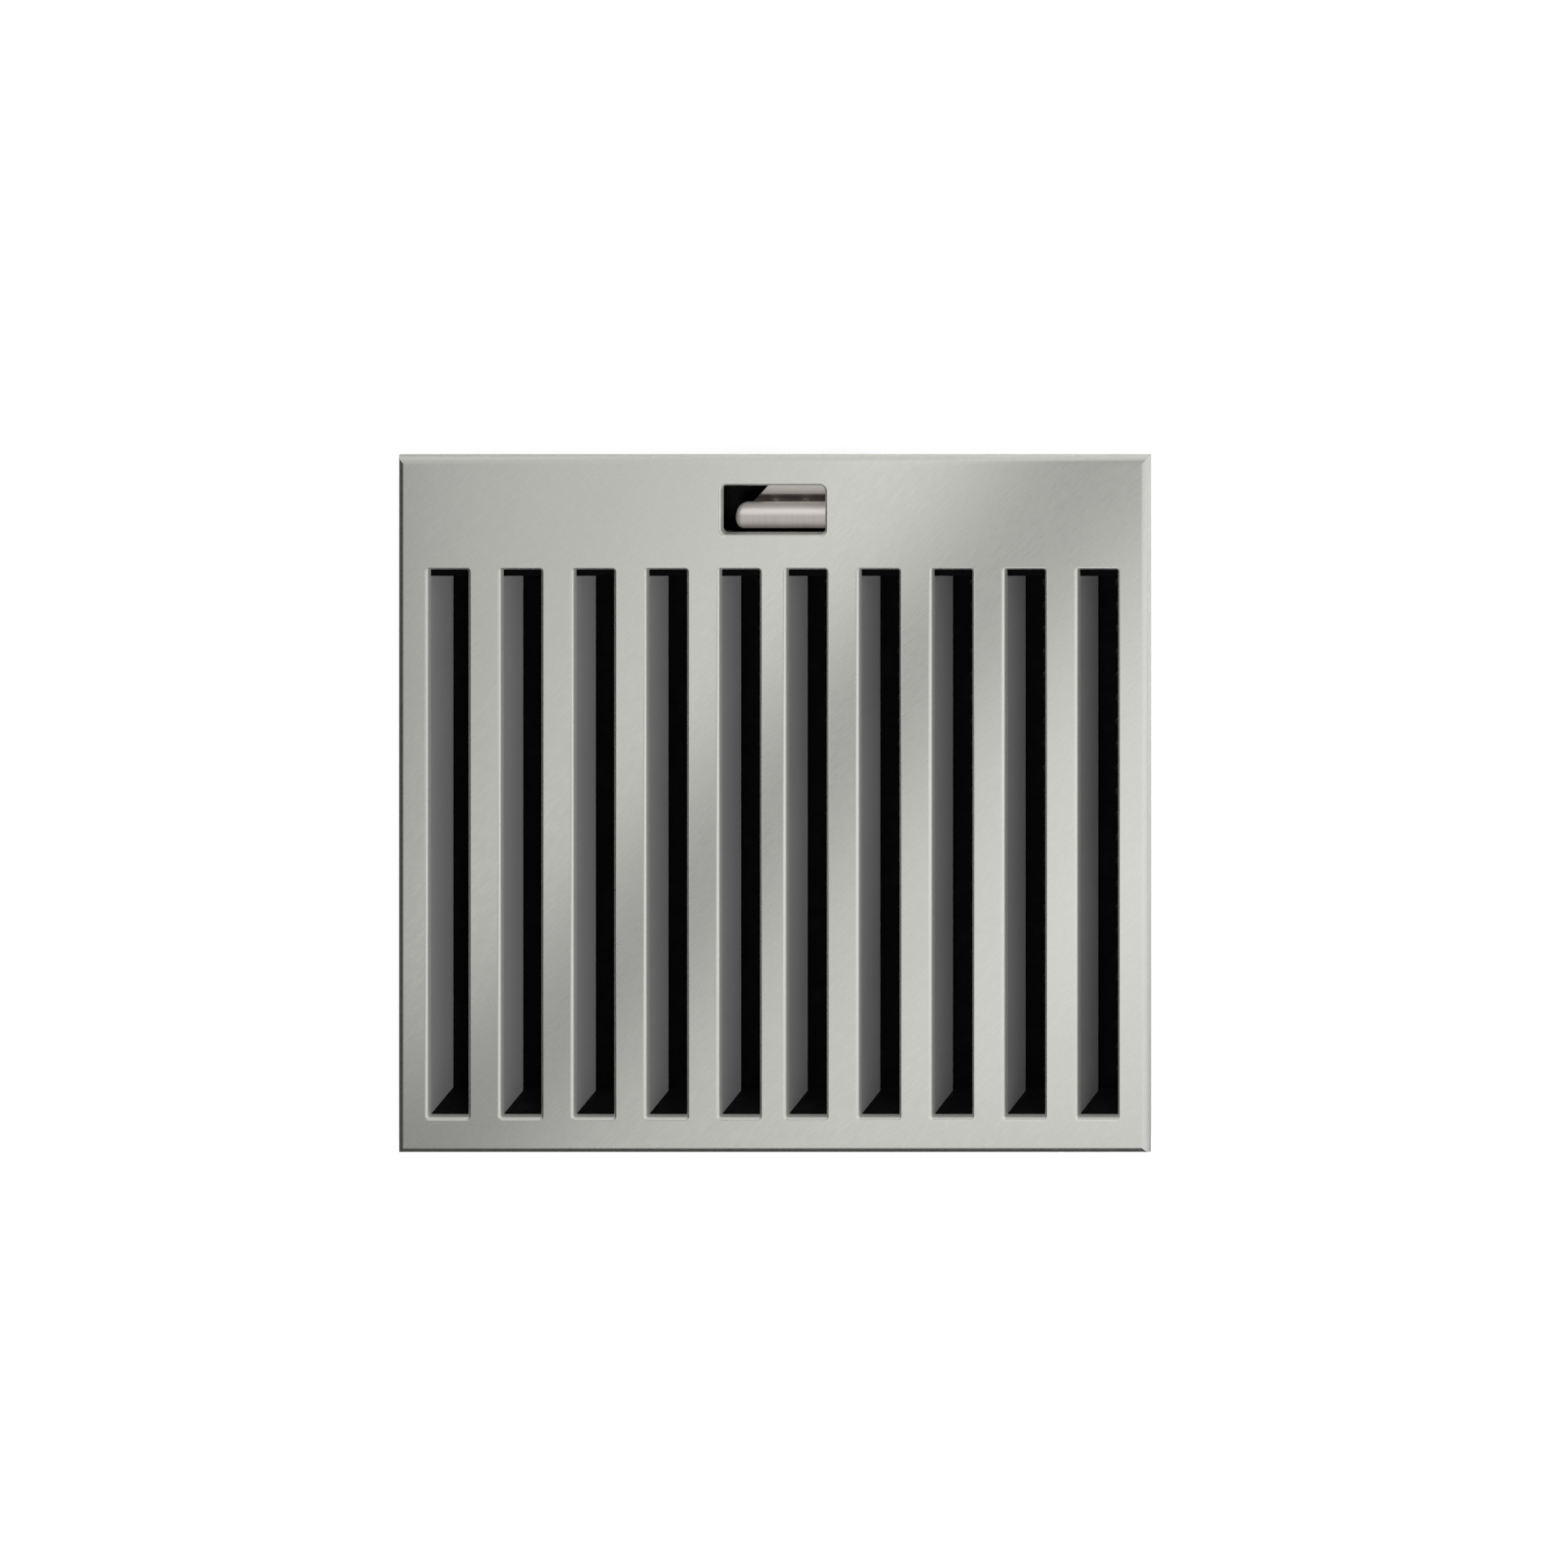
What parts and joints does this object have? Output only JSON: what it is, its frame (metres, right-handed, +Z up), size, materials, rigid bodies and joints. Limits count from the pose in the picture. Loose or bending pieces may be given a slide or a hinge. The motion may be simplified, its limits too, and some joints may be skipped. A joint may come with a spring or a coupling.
{
  "type": "floor drain grate",
  "caption": "Square slotted stainless floor drain grate on channel ribs, with a dark strainer below, rubber seats, foot hooks and a sprung finger latch in a window.",
  "frame": {"origin": "middle of the underside, on the surface that the skirt's lower edges stand on", "axes": "+Z up through the face, +Y along the slots toward the latch end, +X across the slots"},
  "size_m": [0.29, 0.269, 0.03],
  "materials": {
    "satin_stainless": "satin",
    "bright_stainless": "bright",
    "spring_wire": "drawn wire",
    "black_polypropylene": "moulded matte",
    "epdm_rubber": "matte"
  },
  "bodies": {
    "grate": {"face_plate": "satin_stainless", "rib_1": "satin_stainless", "rib_2": "satin_stainless", "rib_3": "satin_stainless", "rib_4": "satin_stainless", "rib_5": "satin_stainless", "rib_6": "satin_stainless", "rib_7": "satin_stainless", "rib_8": "satin_stainless", "rib_9": "satin_stainless", "side_rail_left": "satin_stainless", "side_rail_right": "satin_stainless", "foot_rail": "satin_stainless", "head_rail": "satin_stainless", "cross_rail": "satin_stainless", "foot_hook_left": "satin_stainless", "foot_hook_right": "satin_stainless", "hook_rivets": "bright_stainless", "strainer_screws": "bright_stainless", "pocket_screws": "bright_stainless", "guide_pin_left": "bright_stainless", "guide_pin_right": "bright_stainless", "spring_left": "spring_wire", "spring_right": "spring_wire", "foot_end_cap": "black_polypropylene", "head_end_cap": "black_polypropylene", "strainer_plate": "black_polypropylene", "pocket_floor": "black_polypropylene", "seat_strip_left": "epdm_rubber", "seat_strip_right": "epdm_rubber", "seat_strip_head": "epdm_rubber", "seat_strip_foot": "epdm_rubber"},
    "latch": {"latch_slide": "satin_stainless", "finger_bar": "satin_stainless", "bar_posts": "bright_stainless"}
  },
  "joints": [
    {"name": "latch_pull", "type": "slide", "parent": "grate", "child": "latch", "axis": [0, -1, 0], "range_m": [0, 0.007], "stiffness_N_per_m": 800, "springref_m": -0.006, "deforming": ["spring_left", "spring_right"]}
  ]
}
